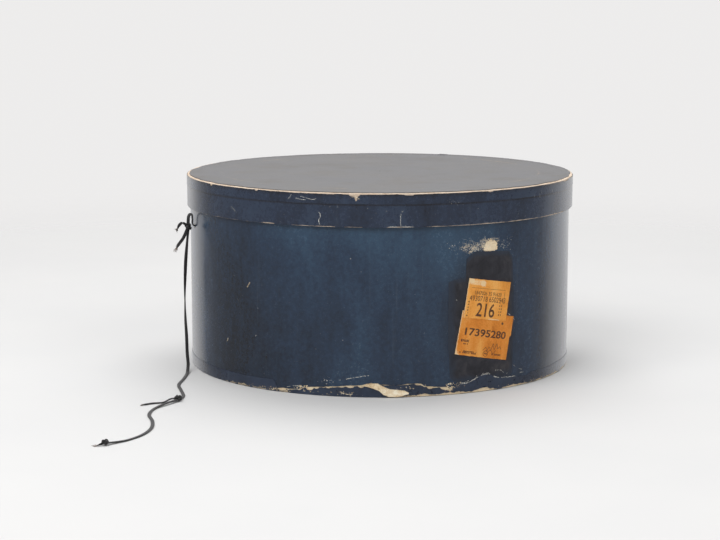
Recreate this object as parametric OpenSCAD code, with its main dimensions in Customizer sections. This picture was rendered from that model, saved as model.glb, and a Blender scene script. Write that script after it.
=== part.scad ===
// Round hat box of strawboard covered in paper, with a lift-off lid, two old
// luggage labels and what is left of its carrying cord.
// Millimetres. Z is up and the underside rests on z = 0. The two cord holes lie
// on the X axis, and the labelled front looks along -Y.

/* [Lid] */
// Outside diameter of the lid
lid_d = 400; // [320:5:460]
// Depth of the lid's rim
rim_h = 33; // [25:1:50]
// Gap between the lid's rim and the wall of the box
rim_gap = 1.2; // [1:0.1:3]

/* [Box] */
// Height of the closed box
box_h = 197; // [170:1:260]
// Distance of the cord holes below the lid's rim
hole_drop = 17; // [10:1:30]
// Diameter of the cord holes
hole_d = 5; // [4:0.5:8]

/* [Board and paper] */
// Thickness of the board in the wall, the base and the lid's top
board_t = 2.2; // [1.6:0.1:3]
// Thickness of the board in the lid's rim
rim_board_t = 1.5; // [1.2:0.1:2.5]
// Thickness of the glazed cover paper
paper_t = 0.3; // [0.2:0.05:0.5]
// Thickness of the lining paper and the binding strips
lining_t = 0.2; // [0.15:0.05:0.4]
// Width of the strip that binds each edge, on either side of it
strip_w = 11; // [8:1:16]

/* [Labels] */
// Angle of the labels from the front, towards the right
label_angle = 14; // [-60:1:60]
// Width of the lower label
lower_w = 62; // [40:1:80]
// Height of the lower label
lower_h = 43; // [30:1:60]
// Height of the lower label's centre
lower_z = 55; // [40:1:70]
// Width of the upper label
upper_w = 50; // [35:1:70]
// Height of the upper label
upper_h = 38; // [25:1:50]
// Height of the upper label's centre
upper_z = 90; // [80:1:110]
// Tilt of both labels, clockwise
label_tilt = 10; // [0:1:30]
// Thickness of the label paper
label_t = 0.2; // [0.15:0.05:0.4]

/* [Cord] */
// Width of the flat braided cord
cord_w = 3.4; // [2.4:0.1:4]
// Thickness of the flat braided cord
cord_t = 1.4; // [1:0.1:2]

/* [Hidden] */
$fn = 180;
// How far a cut runs past the faces that it goes through
overcut = 1;
// Depth of a flat outline before it is trimmed to the wall
wrap_depth = 60;

// Heights, from the underside up
base_paper_z = paper_t;
base_z = 2 * paper_t;
floor_z = base_z + board_t;
lid_top_z = box_h - 2 * paper_t;
lid_board_z = lid_top_z - board_t;
lid_lining_z = lid_board_z - lining_t;
seat_gap = 0.3; // between the lid's lining and the bound edge of the box
edge_z = lid_lining_z - seat_gap;
wall_top_z = edge_z - lining_t;
rim_z = box_h - rim_h;
hole_z = rim_z - hole_drop;

// Radii, from the outside in
lid_r = lid_d / 2;
rim_cover_r = lid_r - paper_t;
rim_board_r = rim_cover_r - paper_t;
rim_lining_r = rim_board_r - rim_board_t;
rim_inner_r = rim_lining_r - lining_t;
wall_r = rim_inner_r - rim_gap;
wall_board_r = wall_r - paper_t;
wall_lining_r = wall_board_r - board_t;
wall_inner_r = wall_lining_r - lining_t;

// Board hoops meet at the back in a butt joint
joint_w = 0.4;
joint_reach = 12;

// Papers inside the box
inner_strip_t = lining_t;
inner_strip_w = 14;
lining_edge = 2;

// The cord: each stop is [outwards from the wall's face, along Y, up] and the
// heading of the cord's flat width, in degrees. The first list is measured from
// the left hole, and the second from the foot of the wall below it.
stops_at_hole = [
    [-6, 0, -1.6, 90], [0, 0, 0, 90], [2.1, -0.3, 1.3, 90], [2.8, -0.8, 3.8, 92],
    [2.7, -1.2, 6.8, 95], [3.7, -3, 11.4, 100], [6.3, -7.4, 13.6, 122], [8.9, -11.8, 11.4, 145],
    [9.8, -13.6, 6.6, 158], [9.9, -13.8, 1.2, 145], [10.3, -13.6, -4.6, 125], [10.9, -12.4, -14, 115],
];
stops_below = [
    [12, -9, 112, 165], [13, -8, 84, 230], [13, -8, 58, 290], [12, -8, 36, 325],
    [12, -10, 19, 340], [12, -14, 8, 342], [14, -21, 2.5, 342], [17, -31, 0.7, 342],
    [25, -53, 0.7, 335], [35, -78, 0.7, 342], [38, -104, 0.7, 355],
    [41, -128, 0.7, 340], [50, -147, 2, 320], [64, -160, 2, 315],
    [78, -174, 0.7, 325], [87, -196, 0.7, 345], [89, -222, 0.7, 350],
    [95, -248, 0.7, 335], [107, -270, 0.7, 315], [124, -286, 0.7, 305], [144, -296, 2, 290],
];
cord_sides = 8;
cord_steps = 2;

// Knots, each at a stop of the cord
hole_knot_r = 3.6;
join_knot_r = 4;
end_knot_r = 3.2;
stop_knot_r = 5;
hole_knot_stop = 9;
join_knot_stop = 12;
hole_knot_at = cord_point(stops_at_hole[hole_knot_stop], hole_z);
join_knot_at = cord_point(stops_below[join_knot_stop], 0);
end_knot_at = cord_point(stops_below[len(stops_below) - 1], 0);
tail_w = 2.6;
knot_fn = 24;

// ---- helpers ----------------------------------------------------------------

module disc(r, z, t) {
    translate([0, 0, z]) cylinder(r = r, h = t);
}

module hoop(r_in, r_out, z0, z1) {
    rotate_extrude() translate([r_in, z0]) square([r_out - r_in, z1 - z0]);
}

// An angled strip that binds a round edge: outline in (radius, height)
module ring_of(points) {
    rotate_extrude() polygon(points);
}

module cord_holes() {
    translate([0, 0, hole_z]) rotate([0, 90, 0])
        cylinder(d = hole_d, h = 2 * lid_d, center = true);
}

module back_joint(r, z0, z1) {
    translate([-joint_w / 2, r - joint_reach, z0 - overcut])
        cube([joint_w, 2 * joint_reach, z1 - z0 + 2 * overcut]);
}

// Wraps a flat outline, drawn in (along, up), onto the wall at an angle
module on_wall(angle, r_in, t) {
    intersection() {
        hoop(r_in, r_in + t, 0, box_h);
        rotate([0, 0, angle]) translate([0, -r_in, 0]) rotate([90, 0, 0])
            linear_extrude(height = wrap_depth, center = true) children();
    }
}

// ---- the cord as a swept flat tube ------------------------------------------

function cord_point(stop, z0) = [-wall_r - stop[0], stop[1], z0 + stop[2]];

function headed(stop, z0) = concat(cord_point(stop, z0), stop[3]);

cord_route = concat(
    [for (s = stops_at_hole) headed(s, hole_z)],
    [for (s = stops_below) headed(s, 0)]
);

// Catmull-Rom between stops i and i + 1
function blend4(a, b, c, d, t) =
    0.5 * (2 * b + (c - a) * t + (2 * a - 5 * b + 4 * c - d) * t * t
        + (3 * b - a - 3 * c + d) * t * t * t);

function at(route, i) = route[max(0, min(len(route) - 1, i))];

function smooth(route, steps) = concat(
    [for (i = [0 : len(route) - 2]) for (k = [0 : steps - 1])
        blend4(at(route, i - 1), at(route, i), at(route, i + 1), at(route, i + 2),
            k / steps)],
    [route[len(route) - 1]]
);

function xyz(p) = [p[0], p[1], p[2]];

function unit(v) = v / norm(v);

function tangent(line, i) = unit(xyz(at(line, i + 1)) - xyz(at(line, i - 1)));

function across(line, i) =
    let (t = tangent(line, i), h = [cos(line[i][3]), sin(line[i][3]), 0])
    unit(h - (h * t) * t);

function ring(line, i, w, t, sides) =
    let (side = across(line, i), up = cross(tangent(line, i), side))
    [for (k = [0 : sides - 1]) let (a = 360 * (k + 0.5) / sides)
        xyz(line[i]) + side * (w / 2 * cos(a)) + up * (t / 2 * sin(a))];

module swept(route, w, t, sides, steps) {
    line = smooth(route, steps);
    n = len(line);
    points = [for (i = [0 : n - 1]) each ring(line, i, w, t, sides)];
    walls = [for (i = [0 : n - 2]) for (k = [0 : sides - 1])
        let (a = i * sides + k, b = i * sides + (k + 1) % sides)
        each [[a, a + sides, b], [b, a + sides, b + sides]]];
    near_end = [for (k = [0 : sides - 1]) k];
    far_end = [for (k = [sides - 1 : -1 : 0]) (n - 1) * sides + k];
    polyhedron(points, concat([near_end], walls, [far_end]), convexity = 4);
}

// A short loose end of cord from a knot; offsets are [x, y, z, heading]
module tail(from, offsets) {
    swept([for (o = offsets) concat(from + xyz(o), o[3])],
        tail_w, cord_t, cord_sides, cord_steps);
}

// ---- the box ----------------------------------------------------------------

module wall_board() {
    color("#a58a63") difference() {
        hoop(wall_lining_r, wall_board_r, floor_z, wall_top_z);
        cord_holes();
        back_joint(wall_board_r, floor_z, wall_top_z);
    }
}

module base_board() {
    color("#a0855f") disc(wall_board_r, base_z, board_t);
}

module wall_cover() {
    color("#20303f") difference() {
        hoop(wall_board_r, wall_r, base_z, wall_top_z);
        cord_holes();
    }
}

module base_edge_strip() {
    r = wall_r;
    color("#1c2a38") ring_of([
        [r - strip_w, base_paper_z], [r + paper_t, base_paper_z],
        [r + paper_t, base_paper_z + strip_w], [r, base_paper_z + strip_w],
        [r, base_z], [r - strip_w, base_z],
    ]);
}

module base_cover() {
    inset_r = wall_r - strip_w;
    color("#1d2833") ring_of([
        [0, 0], [wall_r - lining_edge, 0], [wall_r - lining_edge, base_paper_z],
        [inset_r, base_paper_z], [inset_r, base_z], [0, base_z],
    ]);
}

module wall_lining() {
    color("#d8cdb4") difference() {
        hoop(wall_inner_r, wall_lining_r, floor_z, wall_top_z);
        cord_holes();
    }
}

module base_lining() {
    color("#d3c8ae") disc(wall_inner_r, floor_z, lining_t);
}

module inner_corner_strip() {
    r = wall_inner_r;
    z = floor_z + lining_t;
    color("#cfc3a6") ring_of([
        [r - inner_strip_w, z], [r, z], [r, z + inner_strip_w],
        [r - inner_strip_t, z + inner_strip_w], [r - inner_strip_t, z + inner_strip_t],
        [r - inner_strip_w, z + inner_strip_t],
    ]);
}

module rim_binding() {
    t = lining_t;
    low_z = wall_top_z - strip_w;
    color("#1e2c3b") ring_of([
        [wall_inner_r - t, low_z], [wall_inner_r, low_z], [wall_inner_r, wall_top_z],
        [wall_r, wall_top_z], [wall_r, low_z], [wall_r + t, low_z],
        [wall_r + t, edge_z], [wall_inner_r - t, edge_z],
    ]);
}

// Dark glue and paper left where earlier labels were soaked off
module label_residue() {
    color("#1f1f22") on_wall(label_angle, wall_r, label_t) polygon([
        [-41, 18], [-38, 12], [30, 11], [34, 30], [33, 128], [27, 135], [-12, 138],
        [-22, 132], [-23, 113], [-40, 112], [-42, 60],
    ]);
}

module label_outline(w, h, z) {
    translate([0, z]) rotate(-label_tilt) square([w, h], center = true);
}

module label_lower() {
    color("#c78a3e") on_wall(label_angle, wall_r + label_t, label_t)
        label_outline(lower_w, lower_h, lower_z);
}

module label_upper() {
    color("#cf9145") on_wall(label_angle, wall_r + 2 * label_t, label_t)
        label_outline(upper_w, upper_h, upper_z);
}

// ---- the cord ---------------------------------------------------------------

module carry_cord() {
    color("#1a1a1e") swept(cord_route, cord_w, cord_t, cord_sides, cord_steps);
}

module hole_knot() {
    color("#1a1a1e") union() {
        translate(hole_knot_at) sphere(r = hole_knot_r, $fn = knot_fn);
        tail(hole_knot_at,
            [[0, 0, 0, 150], [-5, 1, 3, 150], [-9, 2, 1, 155], [-11, 3, -4, 160]]);
        tail(hole_knot_at,
            [[0, 0, 0, 150], [-3, -2, -7, 150], [-7, -3, -14, 155], [-13, -4, -22, 160]]);
    }
}

module stop_knot() {
    color("#1a1a1e")
        translate([-wall_inner_r + stop_knot_r + lining_t, 0, hole_z])
            sphere(r = stop_knot_r);
}

module join_knot() {
    color("#1a1a1e") union() {
        translate([join_knot_at[0], join_knot_at[1], join_knot_r])
            sphere(r = join_knot_r, $fn = knot_fn);
        tail([join_knot_at[0], join_knot_at[1], 0], [
            [0, 0, 3, 90], [-8, -1, 3, 80], [-18, -4, 0.7, 75], [-29, -4, 0.7, 90],
            [-38, -8, 0.7, 80],
        ]);
    }
}

module end_knot() {
    color("#1a1a1e")
        translate([end_knot_at[0], end_knot_at[1], end_knot_r]) sphere(r = end_knot_r);
}

// ---- the lid ----------------------------------------------------------------

module lid_board() {
    color("#a58a63") disc(rim_board_r, lid_board_z, board_t);
}

module lid_rim_board() {
    color("#a0855f") difference() {
        hoop(rim_lining_r, rim_board_r, rim_z + paper_t, lid_board_z);
        back_joint(rim_board_r, rim_z, lid_board_z);
    }
}

module lid_rim_cover() {
    color("#1b2430") ring_of([
        [rim_lining_r, rim_z], [rim_cover_r, rim_z], [rim_cover_r, lid_top_z],
        [rim_board_r, lid_top_z], [rim_board_r, rim_z + paper_t],
        [rim_lining_r, rim_z + paper_t],
    ]);
}

module lid_edge_strip() {
    low_z = box_h - strip_w;
    top_in = lid_r - strip_w;
    color("#1a2430") ring_of([
        [rim_cover_r, low_z], [lid_r, low_z], [lid_r, box_h], [top_in, box_h],
        [top_in, box_h - paper_t], [rim_cover_r, box_h - paper_t],
    ]);
}

module lid_top_cover() {
    inset_r = lid_r - strip_w;
    color("#1e2b3a") ring_of([
        [0, lid_top_z], [rim_cover_r, lid_top_z], [rim_cover_r, box_h - paper_t],
        [inset_r, box_h - paper_t], [inset_r, box_h], [0, box_h],
    ]);
}

module lid_lining() {
    color("#d8cdb4") disc(rim_lining_r, lid_lining_z, lining_t);
}

module lid_rim_lining() {
    color("#d3c8ae") hoop(rim_inner_r, rim_lining_r, rim_z + paper_t, lid_lining_z);
}

wall_board();
base_board();
wall_cover();
base_edge_strip();
base_cover();
wall_lining();
base_lining();
inner_corner_strip();
rim_binding();
label_residue();
label_lower();
label_upper();
carry_cord();
hole_knot();
stop_knot();
join_knot();
end_knot();
lid_board();
lid_rim_board();
lid_rim_cover();
lid_edge_strip();
lid_top_cover();
lid_lining();
lid_rim_lining();
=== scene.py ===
"""Looks of a round paper-covered hat box: worn navy paper over strawboard, two
luggage labels, a flat black lace and a lift-off lid. Metres; +Z is up."""

import math

import bpy
import numpy as np
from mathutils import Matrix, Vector


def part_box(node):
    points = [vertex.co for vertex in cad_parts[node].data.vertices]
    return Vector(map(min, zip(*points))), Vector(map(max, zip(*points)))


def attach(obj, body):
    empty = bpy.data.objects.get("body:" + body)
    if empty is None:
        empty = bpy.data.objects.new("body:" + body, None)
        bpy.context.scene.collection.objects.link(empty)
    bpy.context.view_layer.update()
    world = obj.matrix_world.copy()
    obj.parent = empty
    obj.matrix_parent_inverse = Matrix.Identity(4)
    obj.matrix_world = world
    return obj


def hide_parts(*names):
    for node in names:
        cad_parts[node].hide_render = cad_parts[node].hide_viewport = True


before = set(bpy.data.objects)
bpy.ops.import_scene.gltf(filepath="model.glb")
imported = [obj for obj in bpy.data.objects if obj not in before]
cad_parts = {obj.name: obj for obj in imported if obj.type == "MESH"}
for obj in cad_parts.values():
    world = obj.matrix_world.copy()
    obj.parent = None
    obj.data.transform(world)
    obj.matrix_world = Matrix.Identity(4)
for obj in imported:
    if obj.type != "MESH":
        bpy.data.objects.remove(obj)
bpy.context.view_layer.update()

MM = 0.001
TAU = 2 * math.pi

# ---- sizes, read from the frame ---------------------------------------------

lid_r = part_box("lid_edge_strip")[1].x
lid_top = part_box("lid_edge_strip")[1].z
lid_strip_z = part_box("lid_edge_strip")[0].z
rim_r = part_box("lid_rim_cover")[1].x
rim_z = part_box("lid_rim_cover")[0].z
rim_inner_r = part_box("lid_rim_lining")[1].x
rim_board_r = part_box("lid_board")[1].x
lid_board_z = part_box("lid_board")[0].z
lid_board_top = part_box("lid_board")[1].z
wall_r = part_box("wall_cover")[1].x
wall_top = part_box("wall_cover")[1].z
wall_lining_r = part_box("wall_lining")[1].x
base_strip_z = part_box("base_edge_strip")[0].z
base_strip_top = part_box("base_edge_strip")[1].z
strip_w = lid_top - lid_strip_z
paper = lid_r - rim_r

# Height and radius of the cord holes, how far inside the lining's outer face the
# stop knot has its middle, and the radius of a box stacked on the lid
hole_z = 147 * MM
hole_r = 2.5 * MM
STOP_IN = 5.6 * MM
STACK_R = 165 * MM

# ---- camera: the viewing angle, and its place in metres -----------------------

view_azimuth = math.radians(-17)
view_pitch = math.radians(8.91)
camera_back = 1.986
camera_aside = -0.0204
camera_height = 0.404
SENSOR = 36.0
LENS = 95.8


def rotated(x, y, angle):
    c, s = math.cos(angle), math.sin(angle)
    return c * x - s * y, s * x + c * y


def make_camera():
    data = bpy.data.cameras.new("camera")
    data.sensor_width = SENSOR
    data.lens = LENS
    camera = bpy.data.objects.new("camera", data)
    bpy.context.scene.collection.objects.link(camera)
    camera.location = (*rotated(camera_aside, -camera_back, view_azimuth), camera_height)
    camera.rotation_euler = (math.radians(90) - view_pitch, 0, view_azimuth)
    bpy.context.scene.camera = camera


make_camera()

# ---- mesh building ----------------------------------------------------------


def make_piece(name, points, faces, material, smooth=True, split=35):
    mesh = bpy.data.meshes.new(name)
    mesh.from_pydata([tuple(p) for p in points], [], faces)
    mesh.validate()
    mesh.polygons.foreach_set("use_smooth", [smooth] * len(mesh.polygons))
    if smooth and split:
        mesh.set_sharp_from_angle(angle=math.radians(split))
    mesh.materials.append(material)
    piece = bpy.data.objects.new(name, mesh)
    bpy.context.scene.collection.objects.link(piece)
    return piece


def settle(piece, body, node=None):
    """Rides a piece on a body, and hides the CAD node it stands for."""
    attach(piece, body)
    if node:
        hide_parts(node)


def unit(vectors):
    """Each vector at length 1."""
    return vectors / np.maximum(np.linalg.norm(vectors, axis=-1, keepdims=True), 1e-12)


def grid_normals(grid):
    """Unit normals of a grid of points; the first axis goes round, the second up."""
    return unit(np.cross(np.gradient(grid, axis=0), np.gradient(grid, axis=1)))


def sheet_faces(n, m, closed):
    """Faces of a closed thin sheet: an outer grid, an inner grid and its edges."""
    back = n * m
    out = lambda i, j: (i % n) * m + j
    inn = lambda i, j: back + (i % n) * m + j
    faces = []
    spans = n if closed else n - 1
    for i in range(spans):
        for j in range(m - 1):
            faces.append((out(i, j), out(i + 1, j), out(i + 1, j + 1), out(i, j + 1)))
            faces.append((inn(i, j), inn(i, j + 1), inn(i + 1, j + 1), inn(i + 1, j)))
        faces.append((out(i, 0), inn(i, 0), inn(i + 1, 0), out(i + 1, 0)))
        last = m - 1
        faces.append((out(i, last), out(i + 1, last), inn(i + 1, last), inn(i, last)))
    if not closed:
        for j in range(m - 1):
            faces.append((out(0, j), out(0, j + 1), inn(0, j + 1), inn(0, j)))
            end = n - 1
            faces.append((out(end, j), inn(end, j), inn(end, j + 1), out(end, j + 1)))
    return faces


def sheet_points(grid, thick, closed):
    """The outer grid, then the same grid set back by the sheet's thickness."""
    if closed:
        padded = np.concatenate([grid[-1:], grid, grid[:1]])
        normal = grid_normals(padded)[1:-1]
    else:
        normal = grid_normals(grid)
    return np.concatenate([grid.reshape(-1, 3), (grid - normal * thick).reshape(-1, 3)])


def sheet_piece(name, grids, thick, material, closed=False):
    """One piece made of several thin sheets."""
    points = []
    faces = []
    count = 0
    for grid in grids:
        n, m = grid.shape[:2]
        new = sheet_points(grid, thick, closed)
        faces += [tuple(k + count for k in f) for f in sheet_faces(n, m, closed)]
        points.append(new)
        count += len(new)
    return make_piece(name, np.concatenate(points), faces, material)


def clamp(value):
    return np.clip(value, 0, 1)


def around(radius, angle, height):
    """Points at a radius, an angle from the front towards the right, and a height."""
    radius, angle, height = np.broadcast_arrays(radius, angle, height)
    return np.stack([radius * np.sin(angle), -radius * np.cos(angle), height], axis=-1)


def paint_attribute(piece, name, values):
    """Keeps one value per grid point of a sheet, front and back alike."""
    doubled = np.tile(np.asarray(values).reshape(-1), 2).astype(np.float32)
    attribute = piece.data.attributes.new(name, "FLOAT", "POINT")
    attribute.data.foreach_set("value", doubled)


# ---- unevenness -------------------------------------------------------------


def jag(angle, radius, pitch, seed):
    """Seeded noise from -1 to 1 along a circle, with straight runs of one pitch."""
    count = max(3, int(TAU * radius / pitch))
    values = np.random.default_rng(seed).uniform(-1, 1, count)
    place = (np.asarray(angle) / TAU * count) % count
    low = np.floor(place).astype(int) % count
    part = place - np.floor(place)
    return values[low] * (1 - part) + values[(low + 1) % count] * part


def ragged(angle, radius, seed):
    """The outline of torn or rubbed paper: coarse, middling and fine jags."""
    coarse = jag(angle, radius, 9 * MM, seed)
    middle = jag(angle, radius, 3 * MM, seed + 1)
    fine = jag(angle, radius, 1.1 * MM, seed + 2)
    return 0.5 * coarse + 0.3 * middle + 0.2 * fine


def grain(angle, radius, seed):
    """Ragged unevenness from 0 to 1."""
    return 0.5 + 0.5 * ragged(angle, radius, seed)


def patchy(angle, radius, pitch, seed):
    """Seeded noise from 0 to 1 along a circle."""
    return 0.5 + 0.5 * jag(angle, radius, pitch, seed)


def waves(angle, height, seed, count, low, high):
    """Smooth unevenness from about -1 to 1 over a drum, the same after a full turn."""
    rng = np.random.default_rng(seed)
    total = 0
    for _ in range(count):
        turns = rng.integers(low, high + 1)
        climb = rng.uniform(-14, 14)
        total = total + np.sin(turns * angle + climb * height + rng.uniform(0, TAU))
    return total / math.sqrt(count)


def wall_bulge(angle, height):
    """How far the wall's paper stands out from a true drum."""
    return 0.10 * MM * waves(angle, height, 5, 7, 4, 26)


def rim_bulge(angle, height):
    return 0.09 * MM * waves(angle, height, 8, 7, 4, 24)


def top_bulge(x, y):
    """Shallow unevenness of the lid's top, pasted paper on board."""
    rng = np.random.default_rng(12)
    total = 0
    for _ in range(9):
        kx, ky = rng.uniform(-55, 55, 2)
        total = total + np.sin(kx * x + ky * y + rng.uniform(0, TAU))
    return 0.07 * MM * total / 3


def on_wall(angle, height, lift):
    return around(wall_r + lift + wall_bulge(angle, height), angle, height)


def on_rim(angle, height, lift):
    return around(rim_r + lift + rim_bulge(angle, height), angle, height)


def profile_line(stops, angle):
    """A line given as (degrees, millimetres) stops, read at angles."""
    degrees = np.degrees(angle)
    return np.interp(degrees, [s[0] for s in stops], [s[1] for s in stops]) * MM


def inside(angle, low, high, ramp=1.0):
    """1 between two angles in degrees, falling to 0 over ramp degrees outside."""
    degrees = np.degrees(np.asarray(angle))
    degrees = (degrees + 180) % 360 - 180
    rise = clamp((degrees - low) / ramp + 1)
    fall = clamp((high - degrees) / ramp + 1)
    return rise * fall


def turn(columns, start=-180.0, lap=0.0):
    """Angles of a full turn that starts at start degrees and overlaps by lap."""
    return np.radians(np.linspace(start, start + 360 + lap, columns))


def chips(angle, places):
    """Chips in an edge: each is its place and width in degrees and its depth in mm."""
    depths = 0
    for centre, width, depth in places:
        off = (np.degrees(angle) - centre + 180) % 360 - 180
        depths = depths + depth * MM * clamp(1 - (off / width) ** 2) ** 0.5
    return depths


def stretches(angle, places):
    """Worn stretches of an edge, added up: amount, from and to in degrees, ramp."""
    return sum(amount * inside(angle, *place) for amount, *place in places)


def wrapped(columns, start, lap):
    """Angles of a strip wrapped once round, and how far its end rides over its start."""
    angle = turn(columns, start - 360, lap)
    reached = (np.degrees(angle) - start) / lap
    return angle, 1.15 * paper * clamp(reached * 4 + 1.5)[:, None]


def rows_between(low, high, count):
    """Values from low to high, one row for each angle."""
    low, high = np.broadcast_arrays(low, high)
    share = np.linspace(0, 1, count)
    return low[:, None] + (high - low)[:, None] * share[None, :]


# ---- materials --------------------------------------------------------------


class Nodes:
    """A short way to write the node tree of a new material, or of the world."""

    def __init__(self, name, world=None):
        self.material = world or bpy.data.materials.new(name)
        self.material.use_nodes = True
        self.tree = self.material.node_tree
        self.shader = self.tree.nodes.get("Principled BSDF")
        self.coordinates = self.tree.nodes.new("ShaderNodeTexCoord")
        self.place = self.coordinates.outputs["Object"]

    def add(self, kind, inputs=None, **settings):
        node = self.tree.nodes.new("ShaderNode" + kind)
        for key, value in settings.items():
            setattr(node, key, value)
        for key, value in (inputs or {}).items():
            self.put(node.inputs[key], value)
        return node

    def put(self, socket, value):
        if isinstance(value, bpy.types.NodeSocket):
            self.tree.links.new(value, socket)
        else:
            socket.default_value = value

    def math(self, operation, a, b=0.0, c=0.0):
        return self.add("Math", {0: a, 1: b, 2: c}, operation=operation).outputs[0]

    def madd(self, a, b, c):
        return self.math("MULTIPLY_ADD", a, b, c)

    def times(self, a, b):
        return self.math("MULTIPLY", a, b)

    def plus(self, a, b):
        return self.math("ADD", a, b)

    def most(self, a, b):
        return self.math("MAXIMUM", a, b)

    def hill(self, value):
        """1 where the value is 0, falling to 0 where it is 1 or more."""
        return self.most(self.math("SUBTRACT", 1.0, value), 0.0)

    def scaled(self, x, y, z, vector=None):
        inputs = {"Vector": vector or self.place, "Scale": (x, y, z)}
        return self.add("Mapping", inputs).outputs[0]

    def moved(self, x, y, z):
        return self.add("Mapping", {"Vector": self.place, "Location": (x, y, z)}).outputs[0]

    def attribute(self, name):
        return self.add("Attribute", attribute_name=name).outputs["Fac"]

    def from_axis(self):
        """Distance from the box's upright axis."""
        flat = self.scaled(1, 1, 0)
        return self.add("VectorMath", {0: flat}, operation="LENGTH").outputs["Value"]

    def noise(self, scale, detail=3.0, rough=0.55, vector=None, distortion=0.0):
        inputs = {"Vector": vector or self.place, "Scale": scale, "Detail": detail}
        inputs["Roughness"] = rough
        inputs["Distortion"] = distortion
        return self.add("TexNoise", inputs).outputs["Fac"]

    def ramp(self, value, stops):
        """A colour or grey ramp: stops are (place, grey or (r, g, b))."""
        node = self.add("ValToRGB", {"Fac": value})
        elements = node.color_ramp.elements
        while len(elements) < len(stops):
            elements.new(0.5)
        for element, (place, colour) in zip(elements, stops):
            rgb = (colour,) * 3 if isinstance(colour, (int, float)) else colour
            element.position = place
            element.color = (*rgb, 1)
        return node.outputs["Color"]

    def mix(self, factor, a, b, blend="MIX"):
        node = self.add("Mix", data_type="RGBA", blend_type=blend)
        self.put(node.inputs[0], factor)
        for socket, value in ((node.inputs[6], a), (node.inputs[7], b)):
            if isinstance(value, tuple):
                value = (*value, 1)
            self.put(socket, value)
        return node.outputs[2]

    def coordinate(self, axis):
        return self.add("SeparateXYZ", {0: self.place}).outputs[axis]

    def bearing(self):
        """Angle from the front towards the right, from 0 at the back to 1."""
        angle = self.math("ARCTAN2", self.coordinate("X"), self.times(self.coordinate("Y"), -1))
        return self.madd(angle, 1 / TAU, 0.5)

    def bump(self, height, distance, strength=1.0, onto=None):
        inputs = {"Height": height, "Distance": distance, "Strength": strength}
        if onto:
            inputs["Normal"] = onto
        return self.add("Bump", inputs).outputs["Normal"]

    def finish(self, colour, roughness, normal=None, **values):
        self.put(self.shader.inputs["Base Color"], colour)
        self.put(self.shader.inputs["Roughness"], roughness)
        if normal:
            self.put(self.shader.inputs["Normal"], normal)
        for key, value in values.items():
            self.put(self.shader.inputs[key.replace("_", " ")], value)
        return self.material


def glazed_paper(name, colours, tone, seed, worn=0.25, gloss=0.3, marks=None, warm=0.97):
    """Glazed navy paper: blotches, streaks, fine mottle, rubbed gloss, dust."""
    n = Nodes(name)
    base = n.moved(seed, seed * 0.7, 0)
    blotch = n.noise(14, 5, 0.62, n.scaled(1, 1, 0.45, base), 0.7)
    streak = n.noise(46, 4, 0.65, n.scaled(1, 1, 0.12, base))
    mottle = n.noise(240, 4, 0.75, base)
    speck = n.noise(1500, 2, 0.6, base)
    place = n.madd(blotch, 0.48, n.times(streak, 0.20))
    place = n.madd(mottle, 0.34, place)
    # The tone can hold painted light: on the wall it lightens the top
    place = n.plus(place, tone(n))
    colour = n.ramp(place, [(0.38, colours[0]), (0.58, colours[1]), (0.80, colours[2])])
    rubbed = n.ramp(n.noise(230, 3, 0.6, n.scaled(1, 1, 0.03, base)), [(0.62, 0.0), (0.74, 0.13)])
    colour = n.mix(rubbed, colour, (0.10, 0.13, 0.16))
    dust = n.ramp(speck, [(0.66, 0.0), (0.8, worn)])
    colour = n.mix(dust, colour, (0.16, 0.17, 0.18))
    shine = n.madd(blotch, 0.12, gloss - 0.06)
    shine = n.madd(mottle, 0.10, shine)
    shine = n.plus(shine, n.times(dust, 0.6))
    if marks:
        bare, shade = marks(n)
        # The marks' shade darkens the paper: a stain round the wall's labels, dark clouds on the lid's top,
        # and painted shade at the fold and under the worn edge of the lid's side
        colour = n.mix(shade, colour, (0.012, 0.010, 0.011))
        colour = n.mix(bare, colour, (0.66, 0.55, 0.40))
        shine = n.plus(shine, n.times(bare, 0.5))
    grain = n.noise(900, 4, 0.6, base)
    normal = n.bump(grain, 0.06 * MM, 0.5)
    normal = n.bump(blotch, 1.2 * MM, 0.22, normal)
    normal = n.bump(mottle, 0.12 * MM, 0.15, normal)
    return n.finish(colour, shine, normal, IOR=1.62, Specular_Tint=(1.0, warm, 2 * warm - 1, 1.0))


def ellipse(n, angle, height, wide, high):
    """1 at a place on the wall, given in degrees and mm, falling to 0 at its edge."""
    across = n.madd(n.bearing(), 360 / wide, -(angle + 180) / wide)
    up = n.madd(n.coordinate("Z"), 1 / (high * MM), -height / high)
    return n.hill(n.plus(n.math("POWER", across, 2), n.math("POWER", up, 2)))


def band(n, value, middle, half):
    """1 where the value is at the middle, falling to 0 at half a width from it."""
    return n.hill(n.math("ABSOLUTE", n.madd(value, 1 / half, -middle / half)))


def wall_marks(n):
    """Rubbed fibres above the labels, and the dark stain left round them."""
    flecks = n.noise(1150, 4, 0.8)
    patches = n.noise(240, 3, 0.6)
    near = ellipse(n, 15.0, 143.5, 4.6, 10)
    left = ellipse(n, 8.4, 141.5, 4.2, 8)
    far = ellipse(n, 11.0, 144.0, 14.0, 13)
    rubbed = n.madd(near, 0.115, n.times(left, 0.085))
    rubbed = n.madd(far, 0.08, rubbed)
    rubbed = n.plus(rubbed, n.times(flecks, 0.62))
    rubbed = n.madd(patches, 0.30, rubbed)
    bare = n.ramp(rubbed, [(0.62, 0.0), (0.65, 1.0)])
    stain = n.plus(ellipse(n, 12.5, 72, 15.0, 78), n.times(patches, 0.25))
    shade = n.ramp(stain, [(0.20, 0.0), (0.80, 0.55)])
    return bare, shade


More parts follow.
